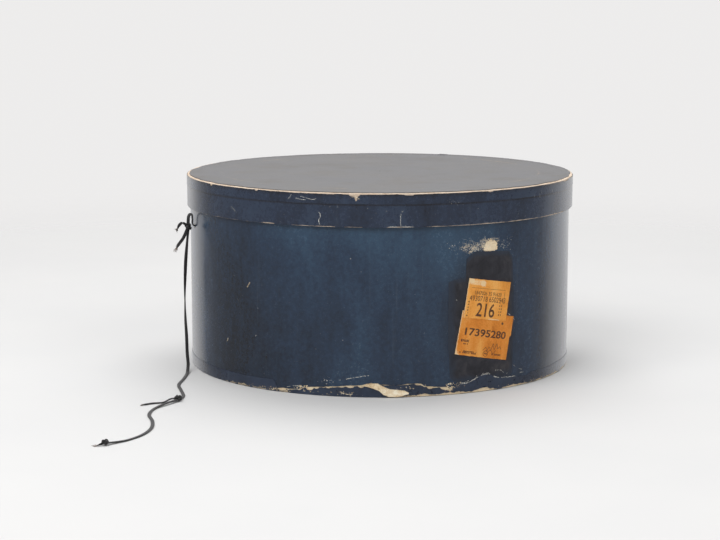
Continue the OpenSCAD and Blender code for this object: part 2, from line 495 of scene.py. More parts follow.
def lid_marks(n):
    """Painted shade along the fold just under the edge strip; below the worn top edge, a flecked dark band
    that is partly painted shadow and partly dirt, and that adds to the rubbing.
    """
    height = n.coordinate("Z")
    flecks = n.noise(500, 3, 0.7)
    # Painted shade: a dark line along the fold just under the edge strip's lower edge
    painted_crease_shade = band(n, height, lid_strip_z - 0.6 * MM, 1.3 * MM)
    # Flecked band 2 to 5 mm below the top edge: painted shadow under the worn edge, with dirt; it also raises
    # the bare rubbing there
    span = {"Value": height, "From Min": lid_top - 5 * MM, "From Max": lid_top - 2 * MM}
    under = n.times(n.add("MapRange", span).outputs[0], n.madd(flecks, 1.6, -0.35))
    shade = n.most(n.times(painted_crease_shade, 0.7), n.math("MINIMUM", under, 0.8))
    bare = n.ramp(n.madd(flecks, 0.5, n.times(under, 0.3)), [(0.56, 0.0), (0.62, 0.7)])
    return bare, n.most(shade, 0.0)


def top_marks(n):
    """A faint ring and rubbing on the lid's top, from boxes stacked on it."""
    cloud = n.noise(22, 5, 0.65)
    scuffs = n.noise(310, 4, 0.7, n.scaled(0.25, 1, 1))
    ring = n.times(band(n, n.from_axis(), STACK_R, 2.2 * MM), n.madd(cloud, 2.6, -0.9))
    scrape = n.noise(95, 4, 0.75, n.scaled(1, 0.10, 1), 0.4)
    rubbed = n.madd(ring, 0.30, n.times(scuffs, 0.62))
    rubbed = n.madd(scrape, 0.30, rubbed)
    bare = n.ramp(rubbed, [(0.55, 0.035), (0.70, 0.40)])
    return bare, n.ramp(cloud, [(0.47, 0.0), (0.66, 0.60)])


def wall_tone_and_top_light(n):
    """The wall is near black on the left and lighter from there to the labels; it also grows lighter towards
    the top, which is painted light from above.
    """
    stops = [(-180, 0.47), (-100, 0.45), (-88, 0.42), (-64, 0.40), (-50, 0.45), (-35, 0.50)]
    stops += [(-12, 0.53), (4, 0.52), (30, 0.43), (120, 0.44), (180, 0.47)]
    grey = n.ramp(n.bearing(), [(degrees / 360 + 0.5, g) for degrees, g in stops])
    # Painted top light: the colour lightens towards the wall's top
    rise = n.times(n.math("POWER", n.times(n.coordinate("Z"), 6.1), 3.0), 0.12)
    return n.plus(n.plus(grey, rise), -0.45)


def even_tone(n):
    """The lid and the strips have one depth of colour all round."""
    return 0.05


def strawboard(name, pale, dark, seed, flecks=0.5):
    """Raw strawboard: fibres, flecks of straw and a soft fuzzy tooth."""
    n = Nodes(name)
    base = n.moved(seed, 0, seed)
    fibre = n.noise(260, 5, 0.7, n.scaled(1, 1, 5, base), 1.0)
    cloud = n.noise(30, 3, 0.5, base)
    fleck = n.noise(1400, 2, 0.5, base)
    place = n.madd(fibre, 0.7, n.times(cloud, 0.35))
    colour = n.ramp(place, [(0.35, dark), (0.62, pale)])
    colour = n.mix(n.ramp(fleck, [(0.6, 0.0), (0.75, flecks)]), colour, (0.2, 0.13, 0.07))
    normal = n.bump(fibre, 0.25 * MM, 0.8)
    return n.finish(colour, 0.9, normal, Specular_IOR_Level=0.2)


def lining_paper(name):
    """Yellowed lining paper with faint foxing."""
    n = Nodes(name)
    cloud = n.noise(9, 4, 0.55)
    fox = n.noise(75, 3, 0.6)
    tooth = n.noise(1100, 4, 0.6)
    colour = n.ramp(cloud, [(0.3, (0.52, 0.44, 0.31)), (0.65, (0.68, 0.61, 0.47))])
    colour = n.mix(n.ramp(fox, [(0.66, 0.0), (0.78, 0.45)]), colour, (0.34, 0.22, 0.11))
    normal = n.bump(tooth, 0.08 * MM, 0.5, n.bump(cloud, 1.5 * MM, 0.4))
    return n.finish(colour, 0.82, normal, Specular_IOR_Level=0.3)


def torn_paper(name):
    """The pale fibrous core that shows where glazed paper has torn."""
    n = Nodes(name)
    fibre = n.noise(700, 5, 0.7, None, 1.5)
    cloud = n.noise(120, 3, 0.6)
    place = n.madd(fibre, 0.5, n.times(cloud, 0.5))
    stops = [(0.36, (0.42, 0.28, 0.15)), (0.48, (0.76, 0.60, 0.38)), (0.62, (0.93, 0.85, 0.68))]
    return n.finish(n.ramp(place, stops), 0.92, n.bump(fibre, 0.3 * MM, 0.8))


def scuff_paint(name):
    """Scratches that have gone through the glaze to grey-white fibres."""
    n = Nodes(name)
    fibre = n.noise(900, 4, 0.7)
    colour = n.ramp(fibre, [(0.35, (0.3, 0.31, 0.32)), (0.62, (0.80, 0.78, 0.70))])
    return n.finish(colour, 0.85, n.bump(fibre, 0.1 * MM, 0.5))


def old_glue(name):
    """Dark dull glue with rags of paper, where labels were soaked off."""
    n = Nodes(name)
    cloud = n.noise(55, 5, 0.65, None, 1.2)
    tooth = n.noise(600, 5, 0.7)
    place = n.madd(cloud, 0.75, n.times(tooth, 0.3))
    stops = [(0.36, (0.013, 0.013, 0.018)), (0.55, (0.029, 0.029, 0.038)), (0.74, (0.060, 0.056, 0.060))]
    normal = n.bump(tooth, 0.15 * MM, 0.7, n.bump(cloud, 0.4 * MM, 0.5))
    shine = n.madd(tooth, 0.3, 0.45)
    thin = n.madd(cloud, 0.9, n.plus(n.attribute("edge"), -0.45))
    thin = n.ramp(thin, [(0.40, 0.0), (0.80, 0.9)])
    colour = n.mix(thin, n.ramp(place, stops), (0.024, 0.034, 0.056))
    return n.finish(colour, shine, normal, IOR=1.5)


def label_paper(name, seed, colours):
    """Orange label paper, toned brown, rubbed pale at the edges."""
    n = Nodes(name)
    base = n.moved(seed, seed, 0)
    cloud = n.noise(48, 5, 0.6, n.scaled(1, 1, 0.5, base), 0.8)
    tooth = n.noise(700, 4, 0.7, base)
    place = n.madd(cloud, 0.7, n.times(tooth, 0.32))
    colour = n.ramp(place, [(0.36, colours[0]), (0.5, colours[1]), (0.66, colours[2])])
    rub = n.madd(tooth, 0.6, n.plus(n.attribute("edge"), -0.30))
    rub = n.ramp(rub, [(0.42, 0.0), (0.72, 0.9)])
    colour = n.mix(rub, colour, (0.88, 0.66, 0.38))
    normal = n.bump(tooth, 0.05 * MM, 0.6, n.bump(cloud, 0.3 * MM, 0.4))
    return n.finish(colour, 0.66, normal, Specular_IOR_Level=0.25)


def label_ink(name):
    n = Nodes(name)
    wear = n.noise(700, 4, 0.7)
    stops = [(0.36, (0.07, 0.028, 0.012)), (0.58, (0.13, 0.052, 0.020)), (0.70, (0.36, 0.15, 0.05))]
    return n.finish(n.ramp(wear, stops), 0.7)


def braid(name, dark, light):
    """Dull black cotton lace, faded brown where it is handled."""
    n = Nodes(name)
    yarn = n.noise(1400, 3, 0.6)
    fade = n.noise(60, 3, 0.6)
    place = n.madd(fade, 0.6, n.times(yarn, 0.4))
    colour = n.ramp(place, [(0.4, dark), (0.68, light)])
    normal = n.bump(yarn, 0.12 * MM, 0.7)
    return n.finish(colour, 0.8, normal, Sheen_Weight=0.25, Sheen_Roughness=0.5)


# Colours from dark to light: the wall, the lid, its top, and the two labels
NAVY = ((0.012, 0.016, 0.025), (0.022, 0.042, 0.080), (0.040, 0.088, 0.150))
LID_NAVY = ((0.010, 0.013, 0.023), (0.025, 0.040, 0.075), (0.042, 0.070, 0.118))
TOP_NAVY = ((0.014, 0.016, 0.022), (0.027, 0.034, 0.050), (0.044, 0.054, 0.074))
ORANGE = ((0.53, 0.165, 0.020), (0.74, 0.255, 0.036), (0.84, 0.39, 0.090))
PALE_ORANGE = ((0.62, 0.225, 0.034), (0.84, 0.345, 0.060), (0.94, 0.49, 0.135))

wall_paper = glazed_paper("wall_paper", NAVY, wall_tone_and_top_light, 0.0, gloss=0.2, marks=wall_marks)
edge_paper = glazed_paper("edge_paper", LID_NAVY, even_tone, 3.1, gloss=0.24)
# Both lid papers take painted shade and painted shadow from lid_marks
lid_edge_paper = glazed_paper("lid_edge_paper", LID_NAVY, even_tone, 4.4, gloss=0.22, marks=lid_marks)
lid_paper = glazed_paper("lid_paper", LID_NAVY, even_tone, 5.7, gloss=0.22, marks=lid_marks)
lid_top_paper = glazed_paper(
    "lid_top_paper", TOP_NAVY, even_tone, 7.2, worn=0.45, gloss=0.42, marks=top_marks, warm=0.94)
base_paper = glazed_paper("base_paper", LID_NAVY, even_tone, 8.3, worn=0.6, gloss=0.55)
worn_board = strawboard("worn_board", (0.96, 0.82, 0.60), (0.70, 0.50, 0.28), 2.0)
worn_arris = strawboard("worn_arris", (0.74, 0.62, 0.50), (0.54, 0.40, 0.29), 4.0, 0.4)
inside_paper = lining_paper("lining_paper")
torn = torn_paper("torn_paper")
scuff = scuff_paint("scuff")
glue = old_glue("old_glue")
orange_lower = label_paper("label_paper_lower", 0.0, ORANGE)
orange_upper = label_paper("label_paper_upper", 4.0, PALE_ORANGE)
ink = label_ink("label_ink")
lace = braid("lace", (0.006, 0.006, 0.008), (0.022, 0.019, 0.019))
frayed = braid("frayed_lace", (0.045, 0.028, 0.018), (0.24, 0.16, 0.11))

# ---- the cord ---------------------------------------------------------------

LACE_W = 3.4 * MM
LACE_T = 1.4 * MM

# The stops of part.scad: [outwards from the wall, along Y, up, heading]. The
# first list is measured from the left hole, the second from the floor below it.
stops_at_hole = [
    [-0.006, 0, -0.0016, 90], [0, 0, 0, 90], [0.0021, -0.0003, 0.0013, 90],
    [0.0028, -0.0008, 0.0038, 92], [0.0027, -0.0012, 0.0068, 95], [0.0037, -0.003, 0.0114, 100],
    [0.0063, -0.0074, 0.0136, 122], [0.0089, -0.0118, 0.0114, 145], [0.0098, -0.0136, 0.0066, 158],
    [0.0099, -0.0138, 0.0012, 145], [0.0103, -0.0136, -0.0046, 125], [0.0109, -0.0124, -0.014, 115],
]
stops_below = [
    [0.012, -0.009, 0.112, 165], [0.013, -0.008, 0.084, 230], [0.013, -0.008, 0.058, 290],
    [0.012, -0.008, 0.036, 325], [0.012, -0.010, 0.019, 340], [0.012, -0.014, 0.008, 342],
    [0.014, -0.021, 0.0025, 342], [0.017, -0.031, 0.0007, 342],
    [0.025, -0.053, 0.0007, 335], [0.035, -0.078, 0.0007, 342],
    [0.038, -0.104, 0.0007, 355], [0.041, -0.128, 0.0007, 340],
    [0.050, -0.147, 0.002, 320], [0.064, -0.160, 0.002, 315],
    [0.078, -0.174, 0.0007, 325], [0.087, -0.196, 0.0007, 345],
    [0.089, -0.222, 0.0007, 350], [0.095, -0.248, 0.0007, 335],
    [0.107, -0.270, 0.0007, 315], [0.124, -0.286, 0.0007, 305],
    [0.144, -0.296, 0.002, 290],
]
HOLE_KNOT = 9
JOIN_KNOT = len(stops_at_hole) + 12
END_KNOT = len(stops_at_hole) + len(stops_below) - 1


def cord_route():
    low = [(-wall_r - s[0], s[1], s[2], math.radians(s[3])) for s in stops_below]
    high = [(-wall_r - s[0], s[1], hole_z + s[2], math.radians(s[3])) for s in stops_at_hole]
    return np.array(high + low)


def smooth_line(stops, steps):
    """Catmull-Rom through the stops, steps points to each."""
    stops = np.asarray(stops, float)
    padded = np.concatenate([stops[:1], stops, stops[-1:]])
    line = []
    for i in range(1, len(stops)):
        a, b, c, d = padded[i - 1 : i + 3]
        for t in np.arange(steps) / steps:
            line.append(
                0.5 * (2 * b + (c - a) * t + (2 * a - 5 * b + 4 * c - d) * t**2
                       + (3 * b - a - 3 * c + d) * t**3)
            )
    return np.array(line + [stops[-1]])


def run_along(line):
    """Distance along a line at each of its points."""
    step = np.linalg.norm(np.diff(line[:, :3], axis=0), axis=1)
    return np.concatenate([[0], np.cumsum(step)])


def beside(line):
    """Unit vectors square to a flat line, on its left."""
    along = unit(np.gradient(line, axis=0))
    return np.stack([-along[:, 1], along[:, 0]], axis=1)


def even_line(line, pitch):
    """The same line with points one pitch apart."""
    run = run_along(line)
    count = max(4, int(round(run[-1] / pitch)))
    at = np.linspace(0, run[-1], count + 1)
    return np.stack([np.interp(at, run, line[:, k]) for k in range(line.shape[1])], axis=1)


def lace_rings(line, width, thick, side, sides=16, plait=0.10, taper=0.0):
    """Rings of a flat plaited lace: rounded edges, and stitches in two rows of V."""
    centre = line[:, :3]
    tangent = unit(np.gradient(centre, axis=0))
    side = unit(side - (side * tangent).sum(1, keepdims=True) * tangent)
    up = np.cross(tangent, side)
    run = run_along(line)
    a = TAU * (np.arange(sides) + 0.5) / sides
    across = np.sign(np.cos(a)) * np.abs(np.cos(a)) ** 0.7
    rise = np.sign(np.sin(a)) * np.abs(np.sin(a)) ** 0.8
    phase = run[:, None] / (1.5 * MM) + np.abs(across)[None, :] * 0.9
    stitch = np.abs(np.sin(math.pi * phase)) ** 0.6
    groove = 1 - 0.25 * np.exp(-((across / 0.16) ** 2))
    swell = groove[None, :] * (1 - plait * (1 - stitch))
    end = clamp((run[-1] - run) / taper) if taper else np.ones(len(run))
    narrow = (0.55 + 0.45 * end)[:, None, None]
    w = width / 2 * narrow
    t = thick / 2 * narrow
    edge = 1 - 0.05 * (1 - stitch)
    return (
        centre[:, None, :]
        + side[:, None, :] * (w * (across * edge)[:, :, None])
        + up[:, None, :] * (t * (rise[None, :] * swell)[:, :, None])
    )


def tube_mesh(rings, closed=False):
    """Points and faces of a tube through rings."""
    n, m = rings.shape[:2]
    faces = []
    for i in range(n if closed else n - 1):
        a, b = i * m, (i + 1) % n * m
        for k in range(m):
            j = (k + 1) % m
            faces.append((a + k, b + k, b + j, a + j))
    if not closed:
        faces.append(tuple(range(m)))
        faces.append(tuple((n - 1) * m + k for k in reversed(range(m))))
    return rings.reshape(-1, 3), faces


def joined(meshes):
    """Several (points, faces) as one."""
    points = []
    faces = []
    count = 0
    for p, f in meshes:
        points.append(np.asarray(p))
        faces += [tuple(k + count for k in face) for face in f]
        count += len(p)
    return np.concatenate(points), faces


def heading_side(line):
    heading = line[:, 3]
    return np.stack([np.cos(heading), np.sin(heading), np.zeros(len(line))], axis=1)


def knot_mesh(centre, size, width, thick, spin, squash=1.0):
    """A pulled-tight overhand knot: lace wound on a small trefoil."""
    t = np.linspace(0, TAU, 140, endpoint=False)
    loop = np.stack(
        [np.sin(t) + 2 * np.sin(2 * t), np.cos(t) - 2 * np.cos(2 * t), -1.5 * np.sin(3 * t) * squash],
        axis=1,
    )
    loop *= size / 3.2
    loop[:, 0], loop[:, 1] = rotated(loop[:, 0], loop[:, 1], spin)
    tangent = np.roll(loop, -1, axis=0) - np.roll(loop, 1, axis=0)
    side = np.cross(tangent, unit(loop))
    loop, side = (np.concatenate([k, k[:1]]) for k in (loop, side))
    rings = lace_rings(loop, width, thick, side, 12)
    return tube_mesh(rings[:-1] + np.asarray(centre), closed=True)


def upright(mesh, centre, tilt):
    """Turns a knot about an axis along Y through its centre."""
    points, faces = mesh
    x, y, z = (points - centre).T
    z, x = rotated(z, x, tilt)
    return np.stack([x, y, z], axis=1) + centre, faces


def tail_mesh(start, offsets, width, thick):
    """A short loose end and its tip; offsets are (x, y, z, heading) in mm and degrees."""
    stops = [
        (start[0] + x * MM, start[1] + y * MM, start[2] + z * MM, math.radians(h))
        for x, y, z, h in offsets
    ]
    line = even_line(smooth_line(stops, 12), 0.35 * MM)
    rings = lace_rings(line, width, thick, heading_side(line), 12, taper=3 * MM)
    return tube_mesh(rings), line[-1, :3]


def fray_meshes(tip, direction, count, length, spread, seed):
    """Loose threads that fan out of a cut end."""
    rng = np.random.default_rng(seed)
    direction = np.asarray(direction) / np.linalg.norm(direction)
    threads = []
    for _ in range(count):
        aim = direction + rng.normal(0, spread, 3)
        aim /= np.linalg.norm(aim)
        bend = rng.normal(0, 0.3, 3)
        reach = length * rng.uniform(0.45, 1.0)
        t = np.linspace(0, 1, 9)[:, None]
        line = tip + rng.normal(0, 0.35 * MM, 3) + reach * (aim * t + bend * t**2 * 0.5)
        line[:, 2] = np.maximum(line[:, 2], 0.25 * MM)
        line = np.concatenate([line, np.zeros((9, 1))], axis=1)
        side = np.cross(np.gradient(line[:, :3], axis=0), rng.normal(0, 1, 3))
        threads.append(tube_mesh(lace_rings(line, 0.32 * MM, 0.26 * MM, side, 5, 0.0)))
    return threads


def knot_piece(node, parts):
    """A knot and the loose ends that leave it, for one of the cord's CAD nodes."""
    knot = make_piece(node + "_lace", *joined(parts), lace, split=60)
    settle(knot, "box", node)
    return knot


def thread_piece(node, frays):
    """The frayed ends at a knot: each is (tip, direction, count, length, spread, seed)."""
    threads = []
    for tip, direction, count, length, spread, seed in frays:
        threads += fray_meshes(tip, direction, count, length * MM, spread, seed)
    piece = make_piece(node + "_threads", *joined(threads), frayed, split=0)
    settle(piece, "box")
    return piece


def hole_knot(at):
    short_stops = [(0, 0, 0, 150), (-3.5, 1, 3.2, 150), (-6.5, 2, 3.6, 155)]
    short_stops += [(-9, 2.5, 1.2, 160), (-10, 3, -1.5, 160)]
    long_stops = [(0, 0, 0, 150), (-2.5, -1, -5, 158), (-6, -2, -11.5, 166)]
    long_stops += [(-11, -3, -17.5, 150), (-12.6, -3, -20.5, 130)]
    short, short_tip = tail_mesh(at, short_stops, 3.0 * MM, 1.3 * MM)
    long, long_tip = tail_mesh(at, long_stops, 3.3 * MM, 1.4 * MM)
    core = upright(knot_mesh(at, 3.6 * MM, 2.9 * MM, 1.3 * MM, 0.4, 1.2), at, math.radians(75))
    knot = knot_piece("hole_knot", [core, short, long])
    frays = [(short_tip, (-0.5, 0.1, -0.8), 20, 4.2, 0.36, 21)]
    frays += [(long_tip, (-0.55, -0.1, -0.8), 22, 4.4, 0.38, 22)]
    return [knot], [thread_piece("hole_knot", frays)]


def stop_knot():
    """The knot inside the wall, which keeps the cord from slipping out."""
    at = (STOP_IN - wall_lining_r, 0, hole_z)
    stops = [(0, 0, 0, 90), (3, 2, -4, 90), (4, 3, -10, 90), (3, 3, -15, 90)]
    end, _ = tail_mesh(at, stops, 2.6 * MM, 1.1 * MM)
    core = knot_mesh(at, 3.9 * MM, 2.8 * MM, 1.3 * MM, 1.1)
    return [knot_piece("stop_knot", [upright(core, np.array(at), math.radians(90)), end])], []


def join_knot(at):
    at[2] = 3.4 * MM
    stops = [(0, 0, 3, 90), (-7, -1, 3.2, 80), (-15, -3.5, 0.8, 75), (-25, -4, 0.8, 90), (-35, -7.5, 0.8, 80)]
    tail, tip = tail_mesh((at[0], at[1], 0), stops, 3.4 * MM, 1.4 * MM)
    core = knot_mesh(at, 3.6 * MM, 2.8 * MM, 1.3 * MM, 0.9, 0.9)
    frays = [(tip, (-1, -0.3, 0), 9, 4, 0.22, 24)]
    return [knot_piece("join_knot", [core, tail])], [thread_piece("join_knot", frays)]


def end_knot(at):
    at[2] = 3.0 * MM
    stops = [(0, 0, 0, 20), (-4, -1, -1.2, 20), (-8, -1.5, -2.2, 30)]
    stub, tip = tail_mesh(at, stops, 2.8 * MM, 1.2 * MM)
    core = knot_mesh(at, 3.1 * MM, 2.6 * MM, 1.2 * MM, 0.2, 0.9)
    frays = [(tip, (-1, -0.2, -0.1), 9, 3.6, 0.25, 25)]
    return [knot_piece("end_knot", [core, stub])], [thread_piece("end_knot", frays)]


def build_cord():
    route = cord_route()
    line = even_line(smooth_line(route, 14), 0.30 * MM)
    rings = lace_rings(line, LACE_W, LACE_T, heading_side(line), 16)
    cord = make_piece("carry_cord_lace", *tube_mesh(rings), lace, split=60)
    settle(cord, "box", "carry_cord")
    places = [route[k, :3].copy() for k in (HOLE_KNOT, JOIN_KNOT, END_KNOT)]
    made = [hole_knot(places[0]), stop_knot(), join_knot(places[1]), end_knot(places[2])]


build_cord()

# ---- tears and wear, in degrees from the front and millimetres ---------------

# Top edge of the torn base strip, left to right
TEAR = [
    (-47.6, 3), (-46, 4.2), (-44, 4), (-41, 4.8), (-39, 7), (-34.5, 8.5), (-28.5, 10.5), (-21.5, 12),
    (-20, 14), (-18, 13.2), (-12, 12), (-9.2, 13), (-6, 13), (-5, 10.4), (-1.5, 8.8), (1.7, 8),
    (2.6, 6), (5.7, 10.2),
]
TEAR_FROM = TEAR[0][0]
TEAR_TO = 3.2

# Where the torn strip lays more board bare: place and width in degrees, depth in mm
TORN_PLACES = [
    (-45.9, 1.2, 2.2), (-44.1, 0.4, 0.9), (-40.4, 0.5, 0.8), (-37.4, 1.2, 2.8), (-35.4, 0.7, 1.5),
    (-32.0, 0.6, 0.8), (-28.2, 0.9, 0.7), (-25.6, 1.0, 1.1), (-22.6, 0.8, 1.6), (-19.5, 1.6, 1.4),
    (-6.6, 1.1, 1.1), (-3.4, 0.8, 1.6), (1.2, 1.5, 2.6), (2.9, 0.5, 2.0),
]

# Worn stretches of the bottom edge, and one that is broken: amount, from, to, ramp
BASE_WORN = [(1.7, -10, 14, 4), (1.0, 14, 75, 4), (0.6, 80, 150, 5), (0.5, -170, -110, 6)]
BASE_WORN_IN_SPOTS = [(0.8, -68, -45, 1.5)]


def base_strip_edge(angle):
    """Upper edge of the base strip."""
    wave = base_strip_top + 0.35 * MM * waves(angle, 0, 31, 5, 3, 30)
    stops = [(-180, 11.3), (TEAR_FROM - 3, 11.3)] + TEAR
    stops += [(8, 10.4), (10.8, 14.2), (12.8, 16.4), (15.5, 16.5), (17.3, 12.8), (20.3, 11)]
    stops += [(29, 9), (33, 11.3), (180, 11.3)]
    torn_here = inside(angle, TEAR_FROM, 33, 1.5)
    line = profile_line(stops, angle) + 0.7 * MM * ragged(angle, wall_r, 40)
    gap = 0.35 * MM + 0.9 * MM * grain(angle, wall_r, 44) ** 2
    gap = gap + chips(angle, TORN_PLACES)
    line = line - gap * inside(angle, TEAR_FROM, TEAR_TO, 0.8)
    return wave * (1 - torn_here) + line * torn_here


def cover_low_edge(angle):
    """Lower edge of the wall's paper: hidden under the strip, except at the tear."""
    line = profile_line([(-180, 4.5)] + TEAR + [(180, 4.5)], angle)
    line = line + 0.6 * MM * ragged(angle, wall_r, 47)
    here = inside(angle, TEAR_FROM, TEAR_TO, 0.8)
    return 4 * MM * (1 - here) + line * here


def base_wear(angle):
    """Height of the worn line along the bottom edge."""
    spots = jag(angle, wall_r, 6 * MM, 50) > -0.1
    places = stretches(angle, BASE_WORN) + stretches(angle, BASE_WORN_IN_SPOTS) * spots
    return (0.2 + 2.3 * places * grain(angle, wall_r, 52)) * MM


# ---- paper skins on the box --------------------------------------------------


def prism_faces(count):
    """Faces of a prism whose points are its outer outline, then its inner one."""
    faces = [tuple(range(count)), tuple(reversed(range(count, 2 * count)))]
    for k in range(count):
        j = (k + 1) % count
        faces.append((k, k + count, j + count, j))
    return faces


def cut(piece, cutters):
    """Cuts closed shapes out of a piece, and removes them."""
    for cutter in cutters:
        modifier = piece.modifiers.new("cut", "BOOLEAN")
        modifier.operation = "DIFFERENCE"
        modifier.solver = "MANIFOLD"
        modifier.object = cutter
        bpy.context.view_layer.update()
        shape = piece.evaluated_get(bpy.context.evaluated_depsgraph_get())
        mesh = bpy.data.meshes.new_from_object(shape)
        piece.modifiers.clear()
        piece.data = mesh
        bpy.data.objects.remove(cutter)


def prism(name, outline, angle, height, deep=6 * MM):
    """A closed plug through the wall; the outline is (along, up) in metres."""
    points = []
    for depth in (deep, -deep):
        points += [(*rotated(x, -(wall_r + depth), angle), height + up) for x, up in outline]
    return make_piece(name, points, prism_faces(len(outline)), torn, smooth=False)


def oval(x, y, wide, high, sides):
    """A closed outline, its last point the same as its first."""
    return [(x + wide * math.cos(a), y + high * math.sin(a)) for a in np.linspace(0, TAU, sides + 1)]


def spot_outline():
    """The torn spot above the labels: flat below, frayed above."""
    rng = np.random.default_rng(61)
    stops = [(-8, -4.4), (-3, -5.2), (3, -5.0), (8.6, -4.6), (8.2, -1), (7.4, 3.4)]
    stops += [(4, 4.6), (0, 5.6), (-3.4, 4.8), (-5.6, 1.4), (-7.4, -1.4)]
    outline = []
    for k, (x, y) in enumerate(stops):
        x2, y2 = stops[(k + 1) % len(stops)]
        for t in np.linspace(0, 1, 7, endpoint=False):
            rough = 0.15 if k < 3 else 0.55
            dx, dy = rng.normal(0, rough, 2)
            outline.append(((x + (x2 - x) * t + dx) * MM, (y + (y2 - y) * t + dy) * MM))
    return outline


SPOT_ANGLE = math.radians(15.2)
SPOT_HEIGHT = 142.6 * MM


def build_wall_cover():
    angle, lift = wrapped(1500, 178.0, 3.0)
    height = rows_between(cover_low_edge(angle), wall_top, 22)
    grid = on_wall(angle[:, None], height, lift)
    cover = sheet_piece("wall_cover_paper", [grid], paper, wall_paper)
    hole = oval(0, 0, hole_r, hole_r, 24)[:-1]
    holes = [
        prism("plug_left", hole, math.radians(-90), hole_z),
        prism("plug_right", hole, math.radians(90), hole_z),
        prism("plug_spot", spot_outline(), SPOT_ANGLE, SPOT_HEIGHT),
    ]
    cut(cover, holes)
    settle(cover, "box", "wall_cover")


def build_base_strip():
    angle, lift = wrapped(2400, 150.0, 2.5)
    low = base_strip_z + base_wear(angle)
    side_rows = rows_between(low, base_strip_edge(angle), 6)
    uneven = patchy(angle, wall_r, 12 * MM, 57)
    curl = 0.5 * MM * (inside(angle, TEAR_FROM, TEAR_TO, 2) * uneven)[:, None]
    curl = curl * np.linspace(0, 1, 6)[None, :] ** 3
    side = on_wall(angle[:, None], side_rows, paper + lift + curl)
    reach = rows_between(wall_r - strip_w, wall_r + paper - 0.8 * base_wear(angle), 4)
    under = around(reach, angle[:, None], base_strip_z)
    strip = sheet_piece("base_edge_strip_paper", [side, under], paper * 0.95, edge_paper)
    settle(strip, "box", "base_edge_strip")


# Upper and lower edge of the hanging flap
FLAP_TOP = [(-22.6, 11.9), (-21, 13.6), (-18, 13.6), (-16.4, 10.8), (-14.6, 8.2), (-12.6, 7.4)]
FLAP_TOP += [(-10.6, 6.6), (-9.4, 4.6)]
FLAP_LOW = [(-22.6, 11.4), (-21, 10.9), (-19.5, 9.6), (-17.6, 7.0), (-16.4, 2.9), (-15, 0.9)]
FLAP_LOW += [(-12, 1.2), (-9.4, 3.4)]


def build_flap():
    """A torn tongue of the strip, its pale core turned outwards."""
    angle = np.radians(np.linspace(FLAP_TOP[0][0], FLAP_TOP[-1][0], 260))
    top = profile_line(FLAP_TOP, angle) + 0.5 * MM * ragged(angle, wall_r, 65)
    low = profile_line(FLAP_LOW, angle) + 0.5 * MM * ragged(angle, wall_r, 68)
    low = np.minimum(low, top - 0.2 * MM)
    height = rows_between(low, top, 14)
    share = np.linspace(0, 1, 14)[None, :]
    curl = inside(angle, -18.5, -11, 3)[:, None]
    lift = 0.75 * MM + curl * (1.5 * MM * (1 - share) ** 2 + 0.3 * MM * np.sin(share * 5))
    grid = on_wall(angle[:, None], height, lift)
    flap = sheet_piece("base_strip_flap", [grid], 0.25 * MM, torn)
    settle(flap, "box")


def build_residue():
    angle = np.radians(np.linspace(2, 24.2, 500))
    top = [(2, 110), (4, 112), (7.2, 113), (7.4, 131), (9.5, 136.5), (10.6, 138.4), (21.9, 135.6)]
    top += [(23.4, 129), (24.2, 90)]
    top = profile_line(top, angle) + 0.8 * MM * ragged(angle, wall_r, 71)
    low = [(2, 52), (2.6, 17), (4, 12), (22, 10.5), (23.8, 14), (24.2, 60)]
    low = profile_line(low, angle) + 0.8 * MM * ragged(angle, wall_r, 74)
    low = np.minimum(low, top - 2 * MM)
    height = rows_between(low, top, 60)
    lift = 0.12 * MM + 0.05 * MM * waves(angle[:, None] * 9, height, 77, 6, 3, 30)
    grid = on_wall(angle[:, None], height, lift)
    patch = sheet_piece("label_residue_glue", [grid], 0.16 * MM, glue)
    share = np.linspace(0, 1, 500)[:, None]
    up = np.linspace(0, 1, 60)[None, :]
    sides = np.maximum(1 - share / 0.22, (share - 0.9) / 0.1)
    ends = np.maximum(1 - up / 0.1, (up - 0.93) / 0.07)
    paint_attribute(patch, "edge", clamp(np.maximum(sides, ends)))
    settle(patch, "box", "label_residue")


build_wall_cover()
build_base_strip()
build_flap()
build_residue()

# ---- labels -----------------------------------------------------------------

LOWER = {"angle": 14.0, "height": 55.0, "size": (62.0, 43.0), "lift": 0.34, "tilt": -11.0, "seed": 90}
UPPER = {"angle": 14.6, "height": 89.8, "size": (50.0, 38.0), "lift": 0.56, "tilt": -9.4, "seed": 95}


def label_curl(label, x, y):
    """How far a label's edge has come away from the wall at (x, y)."""
    u = x / (label["size"][0] * MM)
    v = y / (label["size"][1] * MM)
    edge = np.maximum(np.abs(u), np.abs(v)) * 2
    uneven = 0.2 + 0.8 * np.abs(jag((u - v) * 5, 1, 0.5, label["seed"] + 3))
    return clamp(edge - 0.86) * uneven * 1.5 * MM


def label_place(label, x, y, lift):
    """A point of a label, (x, y) in metres from its centre, wrapped on the wall."""
    along, up = rotated(x, y, math.radians(label["tilt"]))
    angle = math.radians(label["angle"]) + along / wall_r
    lift = label["lift"] * MM + label_curl(label, x, y) + lift
    return on_wall(angle, up + label["height"] * MM, lift)


